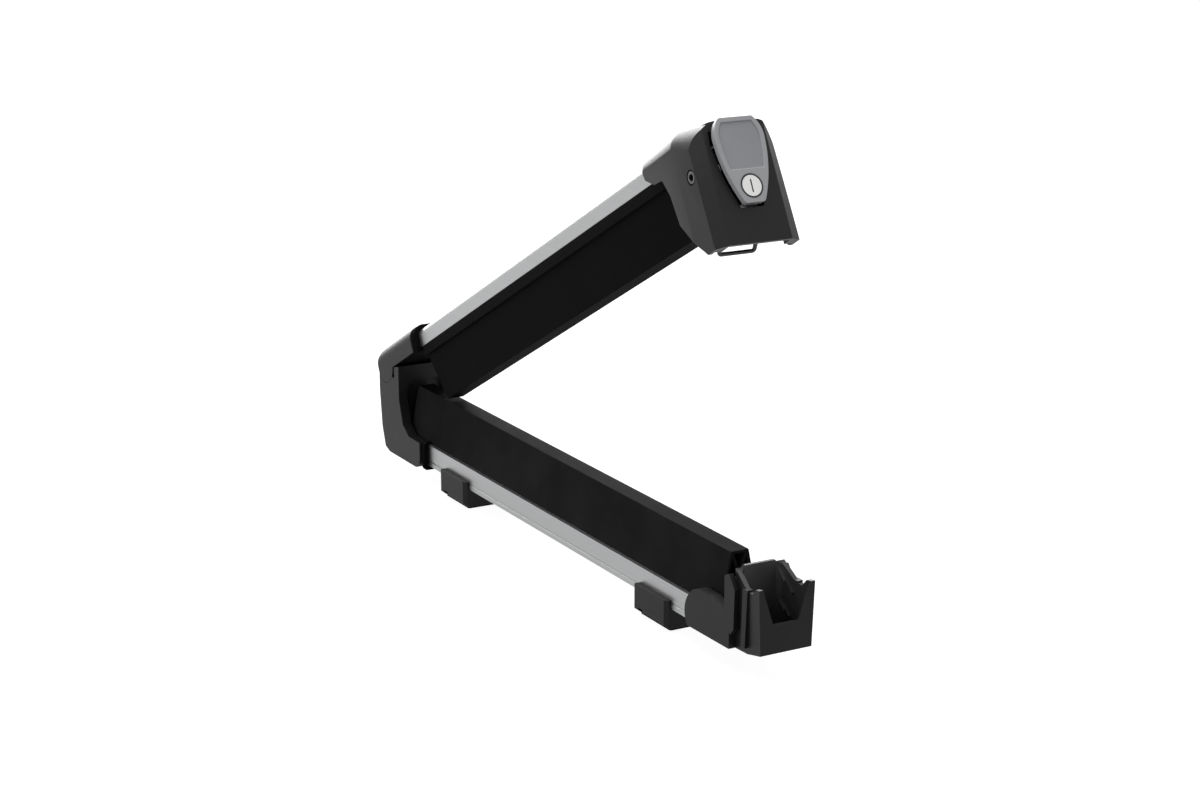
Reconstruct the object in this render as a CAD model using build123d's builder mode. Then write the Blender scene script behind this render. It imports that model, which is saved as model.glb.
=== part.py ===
"""Roof ski carrier: two rubber-faced aluminium arms, a floating hinge and a push-button lock.

X runs along the lower arm, from the hinge to the catch cup. Z is up, and the feet stand on Z = 0.
"""
import os
from math import cos, radians, sin

from build123d import *

# Whole carrier
overall_length = 603.0
foot_rise = 17.0
opening_angle = 27.75

# Aluminium profiles
profile_width = 38.0
lower_profile_height = 18.3
side_groove_height = 4.3
side_groove_size = 1.2
slot_opening = 12.0
slot_channel_width = 26.0
slot_channel_height = 8.0
slot_lip = 2.4
profile_web = 2.6
rubber_lip = 1.5
profile_fit = 0.2
crown_top = 12.4
crown_radius = 7.0
arm_profile_bottom = -3.2
screw_port_radius = 2.0

# Rubber strips
rubber_height = 40.3
rubber_face_width = 14.4
rubber_base_width = 31.0
rubber_foot_width = 33.4
rubber_wall = 2.2
rubber_web_depth = 17.0
flange_height = 8.5
rubber_gap = 0.3

# Hinge
tip_radius = 15.3
tip_gap = 0.3
pivot_height = 72.8
pin_drop = 24.8
pin_radius = 4.0
pin_clearance = 0.05
post_half_width = 25.5
post_depth = 42.5
post_wall_depth = 9.0
post_wall_height = 77.0
sleeve_length = 39.5
sleeve_half_width = 23.6
sleeve_top = 19.6
post_floor = 3.4
arch_half_width = 17.5
arch_height = 64.0
gasket_thickness = 4.3
slider_half_depth = 6.5
slider_half_width = 11.8
slider_bottom = 8.0
slider_flange = 3.0
slider_flange_height = 5.0
slider_clearance = 0.3
tongue_half_width = 6.5
tongue_radius = 6.0
knuckle_length = 62.0
knuckle_bottom = -5.9
knuckle_top = 16.0
knuckle_shoulder = 11.0
knuckle_screw_y = 14.9
knuckle_screw_n = 4.8

# Feet
foot_length = 44.0
foot_half_width = 23.5
foot_sole_half_width = 19.5
foot_hook_height = 23.5
foot_setback = 140.5
pad_thickness = 1.5
bolt_bore_radius = 3.3
nut_thread_radius = 2.5
nut_size = 20.0
nut_thickness = 5.0

# End cap and catch cup
cap_sleeve_length = 56.0
cap_half_width = 24.0
cap_ledge_height = 29.8
cap_floor = 1.3
cup_depth = 36.0
cup_wall = 2.5
cup_top = 57.5
cup_side_top = 46.2
cup_corner_top = 51.4
cup_sole_half_width = 20.3
cup_rim_half_width = 22.6
cup_rear_inset = 3.2
cup_inner_rear_half_width = 12.8
cup_inner_half_width = 16.6
cup_inner_front_half_width = 18.8
cup_inner_corner = 3.5
cup_bottom_rise = 4.5
cup_floor = 11.0
notch_half_width = 10.6
notch_mouth_half_width = 19.2
notch_height = 25.0
tooth_length = 2.9
tooth_thickness = 2.0
tooth_reach = 9.0
rib_height = 0.9
rubber_setback = 23.0

# Lock housing, in the arm's own directions: u along the arm from the pivot, n square to it
housing_front = 581.0
housing_length = 82.0
housing_half_width = 33.0
housing_rear_half_width = 27.0
housing_top = 16.7
housing_side_top = 4.0
housing_bottom = -75.1
housing_wall = 3.0
bevel_half_width = 24.5
arm_profile_start = 28.0
arm_end_setback = 29.0
arm_rubber_start = 69.5
arm_rubber_setback = 43.0

# Latch
latch_pin_setback = 12.8
latch_pin_n = -22.4
latch_pin_radius = 3.0
lever_half_width = 12.0
bail_setback = 32.6
bail_n = -71.5
bail_wire_radius = 1.5
bail_half_width = 13.9
lock_n = -37.0
lock_face_radius = 7.4
barrel_radius = 8.2
plug_radius = 5.0
button_thickness = 4.5
button_stand = 5.5
button_clearance = 1.4
screw_radius = 2.0

# Places that follow from the sizes
rear_x = -overall_length / 2
front_x = overall_length / 2
foot_offset = front_x - foot_setback
tip_x = rear_x + tip_radius
tip_z = foot_rise + pivot_height
pin_z = tip_z - pin_drop
profile_top = foot_rise + lower_profile_height
lower_face = profile_top + rubber_height
post_front_x = rear_x + post_depth
sleeve_end_x = post_front_x + sleeve_length
gasket_end_x = sleeve_end_x + gasket_thickness
profile_start_x = post_front_x - 7.0
cup_rear_x = front_x - cup_depth
cap_rear_x = cup_rear_x - cap_sleeve_length
profile_end_x = cup_rear_x - 8.0
rubber_end_x = cup_rear_x - rubber_setback
half_profile = profile_width / 2
post_sole = foot_rise - post_floor
flange_bottom = arm_profile_bottom - flange_height
arm_face = flange_bottom - (rubber_height - 1.5)
channel_z = foot_rise + slot_lip
rubber_channel_z = channel_z + slot_channel_height + profile_web
housing_rear = housing_front - housing_length
arm_profile_end = housing_front - arm_end_setback
arm_rubber_end = housing_front - arm_rubber_setback
latch_pin_u = housing_front - latch_pin_setback
bail_u = housing_front - bail_setback

tilt = radians(opening_angle)
along = (cos(tilt), 0, sin(tilt))
pin_u = -pin_drop * sin(tilt)
pin_n = -pin_drop * cos(tilt)
arm_side = Plane(origin=(tip_x, 0, tip_z), x_dir=along, z_dir=(0, -1, 0))


def arm_section(u):
    """The plane square to the arm at u: its x runs across the arm, its y along n."""
    return Plane(
        origin=(tip_x + u * cos(tilt), 0, tip_z + u * sin(tilt)), x_dir=(0, 1, 0), z_dir=along
    )


# Lower profile: an extrusion with a T-slot below and a channel for the rubber's foot above
with BuildPart() as lower_profile:
    with BuildSketch(Plane.YZ.offset(profile_start_x)):
        with Locations((0, foot_rise + lower_profile_height / 2)):
            Rectangle(profile_width, lower_profile_height)
        with Locations((0, channel_z)):
            Rectangle(slot_opening, 2 * slot_lip, mode=Mode.SUBTRACT)
        with Locations((0, channel_z + slot_channel_height / 2)):
            Rectangle(slot_channel_width, slot_channel_height, mode=Mode.SUBTRACT)
        with Locations((0, profile_top)):
            Rectangle(
                rubber_base_width + 2 * profile_fit,
                2 * (profile_top - rubber_channel_z),
                mode=Mode.SUBTRACT,
            )
        with Locations((0, (rubber_channel_z + profile_top - rubber_lip) / 2)):
            Rectangle(
                rubber_foot_width + 2 * profile_fit,
                profile_top - rubber_lip - rubber_channel_z,
                mode=Mode.SUBTRACT,
            )
        for side in (-1, 1):
            with Locations((side * half_profile, foot_rise + side_groove_height)):
                Rectangle(side_groove_size, side_groove_size, rotation=45, mode=Mode.SUBTRACT)
            with Locations((side * (slot_channel_width / 2 + 3.0), channel_z + 4.0)):
                Circle(screw_port_radius - 0.4, mode=Mode.SUBTRACT)
    extrude(amount=profile_end_x - profile_start_x)
    with Locations(
        Location((post_front_x + 20.0, 9.5, foot_rise)), Location((post_front_x + 20.0, -9.5, foot_rise)),
        Location((cap_rear_x + 26.0, 9.5, foot_rise)), Location((cap_rear_x + 26.0, -9.5, foot_rise)),
    ):
        Cylinder(screw_radius + 0.05, 2 * slot_lip, mode=Mode.SUBTRACT)
lower_profile.part.label = "lower_profile"


# Lower rubber strip: hollow, with two inner webs that meet in a V
with BuildPart() as lower_rubber:
    with BuildSketch(Plane.YZ.offset(post_front_x + 1.0)):
        with BuildLine():
            Polyline(
                (-rubber_foot_width / 2, rubber_channel_z),
                (-rubber_foot_width / 2, profile_top - rubber_lip - profile_fit),
                (-rubber_base_width / 2, profile_top - rubber_lip - profile_fit),
                (-rubber_base_width / 2, profile_top),
                (-rubber_face_width / 2, lower_face),
                (rubber_face_width / 2, lower_face),
                (rubber_base_width / 2, profile_top),
                (rubber_base_width / 2, profile_top - rubber_lip - profile_fit),
                (rubber_foot_width / 2, profile_top - rubber_lip - profile_fit),
                (rubber_foot_width / 2, rubber_channel_z),
                close=True,
            )
        make_face()
        with BuildLine():
            Polyline(
                (-rubber_base_width / 2 + rubber_wall, profile_top + 1.0),
                (-rubber_face_width / 2 + 1.4, lower_face - rubber_wall - 3.0),
                (0, lower_face - rubber_web_depth - 2.0),
                (rubber_face_width / 2 - 1.4, lower_face - rubber_wall - 3.0),
                (rubber_base_width / 2 - rubber_wall, profile_top + 1.0),
                close=True,
            )
        make_face(mode=Mode.SUBTRACT)
        with BuildLine():
            Polyline(
                (-rubber_face_width / 2 + 2.6, lower_face - rubber_wall),
                (0, lower_face - rubber_web_depth + 2.5),
                (rubber_face_width / 2 - 2.6, lower_face - rubber_wall),
                close=True,
            )
        make_face(mode=Mode.SUBTRACT)
    extrude(amount=rubber_end_x - post_front_x - 1.0)
lower_rubber.part.label = "lower_rubber"

# Hinge post: a moulded block with a round seat for the knuckle and an arch for the rubber's end
with BuildPart() as hinge_post:
    with BuildSketch(Plane.XZ) as post_side:
        with BuildLine():
            Polyline(
                (rear_x, tip_z - 5.0),
                (rear_x, foot_rise + 47.8),
                (rear_x + 3.6, foot_rise + 16.0),
                (rear_x + 8.7, foot_rise + 1.0),
                (rear_x + 21.5, post_sole),
                (sleeve_end_x, post_sole),
                (sleeve_end_x, foot_rise + sleeve_top),
                (post_front_x + 18.0, foot_rise + sleeve_top + 0.4),
                (post_front_x + 7.0, foot_rise + 27.5),
                (post_front_x, foot_rise + 48.0),
                (post_front_x, foot_rise + post_wall_height),
                (post_front_x - post_wall_depth, foot_rise + post_wall_height - 2.5),
                (post_front_x - post_wall_depth, tip_z - 8.1),
                (tip_x, tip_z - 5.0),
                close=True,
            )
        make_face()
    extrude(amount=post_half_width, both=True)
    fillet(hinge_post.edges().filter_by(Axis.Y).sort_by(Axis.Z)[:2], 9.0)
    long_edges = [
        edge
        for edge in hinge_post.edges()
        if abs(abs(edge.center().Y) - post_half_width) < 0.01
        and edge.center().X < tip_x - 1
        and edge.center().Z < tip_z - 10
    ]
    fillet(long_edges, 4.0)
    with BuildSketch(Plane.XZ):
        with Locations((tip_x, tip_z)):
            Circle(tip_radius + tip_gap)
    extrude(amount=post_half_width + 1, both=True, mode=Mode.SUBTRACT)
    with BuildSketch(Plane.XY.offset(post_sole - 1)):
        with Locations((tip_x, 0)):
            Rectangle(
                2 * (slider_half_depth + slider_clearance),
                2 * (slider_half_width + slider_flange + slider_clearance),
            )
    extrude(amount=foot_rise + 53.1 - post_sole + 1, mode=Mode.SUBTRACT)
    with BuildSketch(Plane.XY.offset(foot_rise + 50)):
        with Locations((tip_x, 0)):
            Rectangle(
                2 * (slider_half_depth + slider_clearance),
                2 * (slider_half_width + slider_clearance),
            )
    extrude(amount=20, mode=Mode.SUBTRACT)
    with BuildSketch(Plane.YZ.offset(profile_start_x - 0.2)):
        with Locations((0, foot_rise + lower_profile_height / 2)):
            Rectangle(profile_width + 2 * profile_fit, lower_profile_height + 2 * profile_fit)
    extrude(amount=100, mode=Mode.SUBTRACT)
    with BuildSketch(Plane.YZ.offset(profile_start_x + 0.6)) as arch:
        with Locations((0, foot_rise + lower_profile_height)):
            Rectangle(
                2 * arch_half_width,
                arch_height - lower_profile_height,
                align=(Align.CENTER, Align.MIN),
            )
        fillet(arch.vertices().group_by(Axis.Y)[-1], 8.0)
    extrude(amount=100, mode=Mode.SUBTRACT)
    with Locations(
        Location((post_front_x + 20.0, 9.5, post_sole)), Location((post_front_x + 20.0, -9.5, post_sole))
    ):
        Cylinder(screw_radius + 0.15, 12, mode=Mode.SUBTRACT)
        Cone(4.2, 2.1, 4.2, align=(Align.CENTER, Align.CENTER, Align.MIN), mode=Mode.SUBTRACT)
hinge_post.part.label = "hinge_post"

# Bottom cap that closes the slider's shaft
with BuildPart() as post_cap:
    with BuildSketch(Plane.XY.offset(foot_rise + 1.2)):
        with Locations((tip_x, 0)):
            Rectangle(2 * slider_half_depth + 0.4, 2 * (slider_half_width + slider_flange) + 0.4)
    extrude(amount=slider_bottom - 1.5)
post_cap.part.label = "post_cap"

with BuildPart() as post_screws:
    for side in (-1, 1):
        with BuildSketch(Plane.XZ.offset(-side * 9.5)):
            with BuildLine():
                Polyline(
                    (post_front_x + 20.0, post_sole + 0.3),
                    (post_front_x + 23.9, post_sole + 0.3),
                    (post_front_x + 20.0 + screw_radius, post_sole + 2.6),
                    (post_front_x + 20.0 + screw_radius, foot_rise + 8.0),
                    (post_front_x + 20.0, foot_rise + 8.0),
                    close=True,
                )
            make_face()
        revolve(axis=Axis((post_front_x + 20.0, side * 9.5, 0), (0, 0, 1)))
post_screws.part.label = "post_screws"

# Gasket at the mouth of the post, open where the rubber passes
with BuildPart() as lower_gasket:
    with BuildSketch(Plane.YZ.offset(sleeve_end_x + 0.05)):
        with Locations((0, foot_rise + 8.2)):
            RectangleRounded(2 * sleeve_half_width, 24.4, 4.0)
        with Locations((0, foot_rise + lower_profile_height / 2)):
            Rectangle(
                profile_width + 2 * profile_fit,
                lower_profile_height + 2 * profile_fit,
                mode=Mode.SUBTRACT,
            )
        with Locations((0, profile_top)):
            Rectangle(rubber_base_width + 1.0, 20, align=(Align.CENTER, Align.MIN), mode=Mode.SUBTRACT)
    extrude(amount=gasket_thickness - 0.1)
lower_gasket.part.label = "lower_gasket"

# Slider: two cheeks that carry the hinge pin and rise in the post
with BuildPart() as hinge_slider:
    with BuildSketch(Plane.XZ):
        with BuildLine():
            Polyline(
                (tip_x - slider_half_depth, pin_z),
                (tip_x - slider_half_depth, foot_rise + slider_bottom),
                (tip_x + slider_half_depth, foot_rise + slider_bottom),
                (tip_x + slider_half_depth, pin_z),
            )
            ThreePointArc(
                (tip_x + slider_half_depth, pin_z),
                (tip_x, pin_z + slider_half_depth),
                (tip_x - slider_half_depth, pin_z),
            )
        make_face()
    extrude(amount=slider_half_width, both=True)
    with Locations((tip_x, 0, foot_rise + slider_bottom)):
        Box(
            2 * slider_half_depth,
            2 * (slider_half_width + slider_flange),
            slider_flange_height,
            align=(Align.CENTER, Align.CENTER, Align.MIN),
        )
    with Locations((tip_x, 0, pin_z - 8.5)):
        Box(
            30, 2 * (tongue_half_width + slider_clearance), 40,
            align=(Align.CENTER, Align.CENTER, Align.MIN), mode=Mode.SUBTRACT,
        )
    with Locations(Plane(origin=(tip_x, 0, pin_z), z_dir=(0, 1, 0))):
        Cylinder(pin_radius, 60, mode=Mode.SUBTRACT)
hinge_slider.part.label = "hinge_slider"

with BuildPart() as hinge_pin:
    with Locations(Plane(origin=(tip_x, 0, pin_z), z_dir=(0, 1, 0))):
        Cylinder(pin_radius, 2 * slider_half_width - 0.4)
    chamfer(hinge_pin.edges(), 0.5)
hinge_pin.part.label = "hinge_pin"

# Upper profile: crowned extrusion with two screw ports
with BuildPart() as upper_profile:
    with BuildSketch(arm_section(arm_profile_start)) as crown:
        with BuildSketch(mode=Mode.PRIVATE) as crown_blank:
            with Locations((0, arm_profile_bottom)):
                Rectangle(
                    profile_width, crown_top - arm_profile_bottom, align=(Align.CENTER, Align.MIN)
                )
            fillet(crown_blank.vertices().group_by(Axis.Y)[-1], crown_radius)
        add(crown_blank.sketch)
        with Locations((0, 6.4)):
            RectangleRounded(21.0, 8.4, 2.0, mode=Mode.SUBTRACT)
        for side in (-1, 1):
            with Locations((side * knuckle_screw_y, knuckle_screw_n)):
                Circle(screw_port_radius + 0.05, mode=Mode.SUBTRACT)
        with Locations((0, arm_profile_bottom)):
            Rectangle(
                rubber_base_width + 2 * profile_fit, 2 * rubber_lip, mode=Mode.SUBTRACT
            )
        with Locations((0, arm_profile_bottom + rubber_lip)):
            Rectangle(
                rubber_foot_width + 2 * profile_fit, 2.2,
                align=(Align.CENTER, Align.MIN), mode=Mode.SUBTRACT,
            )
    extrude(amount=arm_profile_end - arm_profile_start)
upper_profile.part.label = "upper_profile"

with BuildPart() as upper_rubber:
    with BuildSketch(arm_section(arm_rubber_start)):
        with BuildLine():
            Polyline(
                (-rubber_foot_width / 2, arm_profile_bottom + rubber_lip + 2.1),
                (-rubber_foot_width / 2, arm_profile_bottom + rubber_lip + profile_fit),
                (-rubber_base_width / 2, arm_profile_bottom + rubber_lip + profile_fit),
                (-rubber_base_width / 2, arm_profile_bottom),
                (-half_profile, arm_profile_bottom),
                (-half_profile, flange_bottom),
                (-rubber_base_width / 2, flange_bottom),
                (-rubber_face_width / 2, arm_face),
                (rubber_face_width / 2, arm_face),
                (rubber_base_width / 2, flange_bottom),
                (half_profile, flange_bottom),
                (half_profile, arm_profile_bottom),
                (rubber_base_width / 2, arm_profile_bottom),
                (rubber_base_width / 2, arm_profile_bottom + rubber_lip + profile_fit),
                (rubber_foot_width / 2, arm_profile_bottom + rubber_lip + profile_fit),
                (rubber_foot_width / 2, arm_profile_bottom + rubber_lip + 2.1),
                close=True,
            )
        make_face()
        with BuildLine():
            Polyline(
                (-rubber_base_width / 2 + rubber_wall, flange_bottom),
                (-rubber_face_width / 2 + 1.4, arm_face + rubber_wall + 3.0),
                (0, arm_face + rubber_web_depth + 2.0),
                (rubber_face_width / 2 - 1.4, arm_face + rubber_wall + 3.0),
                (rubber_base_width / 2 - rubber_wall, flange_bottom),
                close=True,
            )
        make_face(mode=Mode.SUBTRACT)
        with BuildLine():
            Polyline(
                (-rubber_face_width / 2 + 2.6, arm_face + rubber_wall),
                (0, arm_face + rubber_web_depth - 2.5),
                (rubber_face_width / 2 - 2.6, arm_face + rubber_wall),
                close=True,
            )
        make_face(mode=Mode.SUBTRACT)
    extrude(amount=arm_rubber_end - arm_rubber_start)
upper_rubber.part.label = "upper_rubber"

# Hinge knuckle: an elbow that ends in a round tip, with a tongue that hangs from the hinge pin
with BuildPart() as hinge_knuckle:
    with BuildSketch(arm_side):
        Circle(tip_radius)
        with BuildLine():
            Polyline(
                (0, tip_radius),
                (8.0, knuckle_top),
                (knuckle_length, knuckle_top),
                (knuckle_length, knuckle_bottom),
                (0, knuckle_bottom),
                close=True,
            )
        make_face()
    extrude(amount=post_half_width, both=True)
    with BuildSketch(arm_section(-tip_radius - 1)) as knuckle_crown:
        with Locations((0, knuckle_top)):
            Rectangle(2 * post_half_width, 60, align=(Align.CENTER, Align.MAX))
        fillet(knuckle_crown.vertices().group_by(Axis.Y)[-1], knuckle_shoulder)
    extrude(amount=knuckle_length + tip_radius + 2, mode=Mode.INTERSECT)
    with BuildSketch(arm_section(arm_profile_start - 0.3)) as socket:
        with Locations((0, arm_profile_bottom - profile_fit)):
            Rectangle(
                profile_width + 2 * profile_fit,
                crown_top - arm_profile_bottom + 2 * profile_fit,
                align=(Align.CENTER, Align.MIN),
            )
        fillet(socket.vertices().group_by(Axis.Y)[-1], crown_radius)
    extrude(amount=knuckle_length, mode=Mode.SUBTRACT)
    with BuildSketch(arm_section(-4.0)):
        with Locations((-knuckle_screw_y, knuckle_screw_n), (knuckle_screw_y, knuckle_screw_n)):
            SlotCenterToCenter(3.0, 9.0, rotation=90)
    extrude(amount=-30, mode=Mode.SUBTRACT)
    with BuildSketch(arm_section(-6.0)):
        with Locations((-knuckle_screw_y, knuckle_screw_n), (knuckle_screw_y, knuckle_screw_n)):
            Circle(screw_radius + 0.15)
    extrude(amount=arm_profile_start + 6.0, mode=Mode.SUBTRACT)
    with BuildSketch(arm_side):
        with BuildLine():
            Polyline(
                (pin_u - tongue_radius * cos(tilt), pin_n + tongue_radius * sin(tilt)),
                (-tongue_radius * cos(tilt), tongue_radius * sin(tilt)),
                (tongue_radius * cos(tilt), -tongue_radius * sin(tilt)),
                (pin_u + tongue_radius * cos(tilt), pin_n - tongue_radius * sin(tilt)),
                close=True,
            )
        make_face()
        with Locations((pin_u, pin_n)):
            Circle(tongue_radius)
    extrude(amount=tongue_half_width, both=True)
    with BuildSketch(arm_side):
        with Locations((pin_u, pin_n)):
            Circle(pin_radius + pin_clearance)
    extrude(amount=tongue_half_width + 1, both=True, mode=Mode.SUBTRACT)
hinge_knuckle.part.label = "hinge_knuckle"

with BuildPart() as knuckle_screws:
    with BuildSketch(arm_section(-4.0)):
        with Locations((-knuckle_screw_y, knuckle_screw_n), (knuckle_screw_y, knuckle_screw_n)):
            Circle(3.8)
    extrude(amount=-2.4)
    with BuildSketch(arm_section(-4.0)):
        with Locations((-knuckle_screw_y, knuckle_screw_n), (knuckle_screw_y, knuckle_screw_n)):
            Circle(screw_radius)
    extrude(amount=arm_profile_start + 20.0)
knuckle_screws.part.label = "knuckle_screws"

with BuildPart() as upper_gasket:
    with BuildSketch(arm_section(knuckle_length + 0.05)) as ring:
        with BuildSketch(mode=Mode.PRIVATE) as ring_blank:
            with Locations((0, knuckle_top + 0.6)):
                Rectangle(2 * sleeve_half_width, knuckle_top + 6.5, align=(Align.CENTER, Align.MAX))
            fillet(ring_blank.vertices().group_by(Axis.Y)[-1], knuckle_shoulder)
        add(ring_blank.sketch)
        with BuildSketch(mode=Mode.PRIVATE) as ring_hole:
            with Locations((0, arm_profile_bottom - profile_fit)):
                Rectangle(
                    profile_width + 2 * profile_fit,
                    crown_top - arm_profile_bottom + 2 * profile_fit,
                    align=(Align.CENTER, Align.MIN),
                )
            fillet(ring_hole.vertices().group_by(Axis.Y)[-1], crown_radius)
        add(ring_hole.sketch, mode=Mode.SUBTRACT)
    extrude(amount=gasket_thickness - 0.1)
upper_gasket.part.label = "upper_gasket"


# Lock housing: a moulded hood whose cross-section widens to the front
def hood_section(u, half_width, top, side_top, inset):
    """One cross-section of the hood at u, made smaller all round by inset."""
    with BuildSketch(arm_section(u), mode=Mode.PRIVATE) as section:
        with BuildLine():
            w = half_width - inset
            Line((-w, housing_bottom - 10), (-w, side_top))
            Spline(
                (-w, side_top), (-0.45 * w, top - inset - 1.0), (0.45 * w, top - inset - 1.0), (w, side_top),
                tangents=[(0.25, 1), (0.25, -1)],
            )
            Line((w, side_top), (w, housing_bottom - 10))
            Line((w, housing_bottom - 10), (-w, housing_bottom - 10))
        make_face()
    return section.sketch


def hood(rear_u, front_u, inset):
    """The hood's body between two stations, for the outside (inset 0) and the cavity."""
    stations = [
        (housing_rear, housing_rear_half_width, housing_top, housing_side_top + 0.7),
        (arm_profile_end, housing_half_width, housing_top + 0.6, housing_side_top - 1.4),
        (housing_front, housing_half_width, housing_top - 5.0, housing_side_top - 13.0),
    ]
    with BuildPart(mode=Mode.PRIVATE) as body:
        for first, second in zip(stations[:-1], stations[1:]):
            loft(
                [hood_section(*first, inset), hood_section(*second, inset)],
                ruled=True,
            )
        with BuildSketch(arm_section(rear_u)):
            Rectangle(200, 300)
        extrude(amount=front_u - rear_u, mode=Mode.INTERSECT)
    return body.part


with BuildPart() as lock_housing:
    add(hood(housing_rear, housing_front, 0))
    with BuildSketch(arm_side):
        with BuildLine():
            Polyline(
                (housing_rear, 30),
                (housing_rear, 2.4),
                (housing_rear + 1.5, -2.2),
                (housing_rear + 14.0, -9.4),
                (housing_rear + 28.0, -10.9),
                (housing_rear + 35.0, -24.0),
                (housing_front - 43.0, -46.2),
                (housing_front - 27.6, -63.6),
                (housing_front - 15.0, housing_bottom),
                (housing_front, housing_bottom + 0.8),
                (housing_front, 30),
                close=True,
            )
        make_face()
    extrude(amount=60, both=True, mode=Mode.INTERSECT)
    for side in (-1, 1):
        with BuildSketch(arm_section(housing_front + 0.01)):
            with BuildLine():
                Polyline(
                    (side * bevel_half_width, housing_bottom - 2),
                    (side * (bevel_half_width - 0.5), 30),
                    (side * 60, 30),
                    (side * 60, housing_bottom - 2),
                    close=True,
                )
            make_face()
        with BuildSketch(arm_section(housing_front - 12.0)):
            with BuildLine():
                Polyline(
                    (side * (housing_half_width + 12.0), housing_bottom - 2),
                    (side * (housing_half_width + 1.0), 30),
                    (side * 60, 30),
                    (side * 60, housing_bottom - 2),
                    close=True,
                )
            make_face()
        loft(mode=Mode.SUBTRACT)
    # Socket for the upper profile and clearance for the rubber's flange
    with BuildSketch(arm_section(housing_rear - 10)) as mouth:
        with Locations((0, arm_profile_bottom - profile_fit)):
            Rectangle(
                profile_width + 2 * profile_fit,
                crown_top - arm_profile_bottom + 2 * profile_fit,
                align=(Align.CENTER, Align.MIN),
            )
        fillet(mouth.vertices().group_by(Axis.Y)[-1], crown_radius)
    extrude(amount=arm_profile_end - housing_rear + 10.3, mode=Mode.SUBTRACT)
    with BuildSketch(arm_section(housing_rear - 10)):
        with Locations((0, arm_profile_bottom)):
            Rectangle(profile_width + 2 * rubber_gap, flange_height + 0.6, align=(Align.CENTER, Align.MAX))
    extrude(amount=arm_rubber_end - housing_rear + 10.6, mode=Mode.SUBTRACT)
    # Hollow below the profile, open at the rear and below
    with BuildSketch(arm_section(housing_front - 55.0)):
        with Locations((0, flange_bottom - 0.6)):
            Rectangle(2 * (housing_rear_half_width - housing_wall), 90, align=(Align.CENTER, Align.MAX))
    extrude(amount=55.0 - housing_wall, mode=Mode.SUBTRACT)
    with BuildSketch(arm_section(housing_front - 33.0)):
        with Locations((0, flange_bottom - 0.6)):
            Rectangle(2 * (housing_half_width - housing_wall), 90, align=(Align.CENTER, Align.MAX))
    extrude(amount=25.0 - housing_wall, mode=Mode.SUBTRACT)
    with BuildSketch(arm_section(arm_profile_end + 0.3)):
        with Locations((0, -20)):
            Rectangle(2 * 17.0, 26, align=(Align.CENTER, Align.MIN))
    extrude(amount=housing_front - housing_wall - arm_profile_end - 0.3, mode=Mode.SUBTRACT)
    # Opening for the button
    with BuildSketch(arm_section(housing_front - housing_wall - 4.5)):
        with BuildLine():
            Polyline(
                (-7.6 - button_clearance, -48.6 - button_clearance),
                (-14.9 - button_clearance, -29.8),
                (-19.1 - button_clearance, -5.6),
                (-17.5 - button_clearance, 30),
                (17.5 + button_clearance, 30),
                (19.1 + button_clearance, -5.6),
                (14.9 + button_clearance, -29.8),
                (7.6 + button_clearance, -48.6 - button_clearance),
                close=True,
            )
        make_face()
    extrude(amount=40, mode=Mode.SUBTRACT)
    # Bosses that locate the lever on the shoulder pin
    for side in (-1, 1):
        with BuildSketch(arm_side.offset(side * (lever_half_width + 0.4))):
            with Locations((latch_pin_u, latch_pin_n)):
                Circle(6.5)
        extrude(amount=side * (housing_half_width - lever_half_width - 2.0))
    with BuildSketch(arm_side):
        with Locations((latch_pin_u, latch_pin_n)):
            Circle(latch_pin_radius + 0.05)
    extrude(amount=60, both=True, mode=Mode.SUBTRACT)
    with BuildSketch(arm_side.offset(housing_half_width - 2.2)):
        with Locations((latch_pin_u, latch_pin_n)):
            Circle(5.2)
    extrude(amount=10, mode=Mode.SUBTRACT)
lock_housing.part.label = "lock_housing"

# Shoulder pin of the latch, with a hexagon recess
with BuildPart() as latch_pin:
    with BuildSketch(arm_side.offset(-housing_half_width + 1.0)):
        with Locations((latch_pin_u, latch_pin_n)):
            Circle(latch_pin_radius)
    extrude(amount=2 * housing_half_width - 3.2)
    with BuildSketch(arm_side.offset(housing_half_width - 2.2)):
        with Locations((latch_pin_u, latch_pin_n)):
            Circle(5.0)
    extrude(amount=2.0)
    with BuildSketch(arm_side.offset(housing_half_width - 0.2)):
        with Locations((latch_pin_u, latch_pin_n)):
            RegularPolygon(2.0, 6)
    extrude(amount=-2.4, mode=Mode.SUBTRACT)
latch_pin.part.label = "latch_pin"

# Return spring, wound around one boss
with BuildPart() as latch_spring:
    with BuildLine() as coil:
        Helix(2.2, 6.6, 7.6, center=(0, 0, 0))
    with BuildSketch(Plane(origin=coil.line @ 0, z_dir=coil.line % 0)):
        Circle(0.7)
    sweep(is_frenet=True)
spring_place = Plane(
    origin=arm_side.offset(lever_half_width + 2.0).from_local_coords((latch_pin_u, latch_pin_n, 0)),
    x_dir=along, z_dir=(0, -1, 0),
)
latch_spring.part = spring_place.location * latch_spring.part
latch_spring.part.label = "latch_spring"

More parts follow.
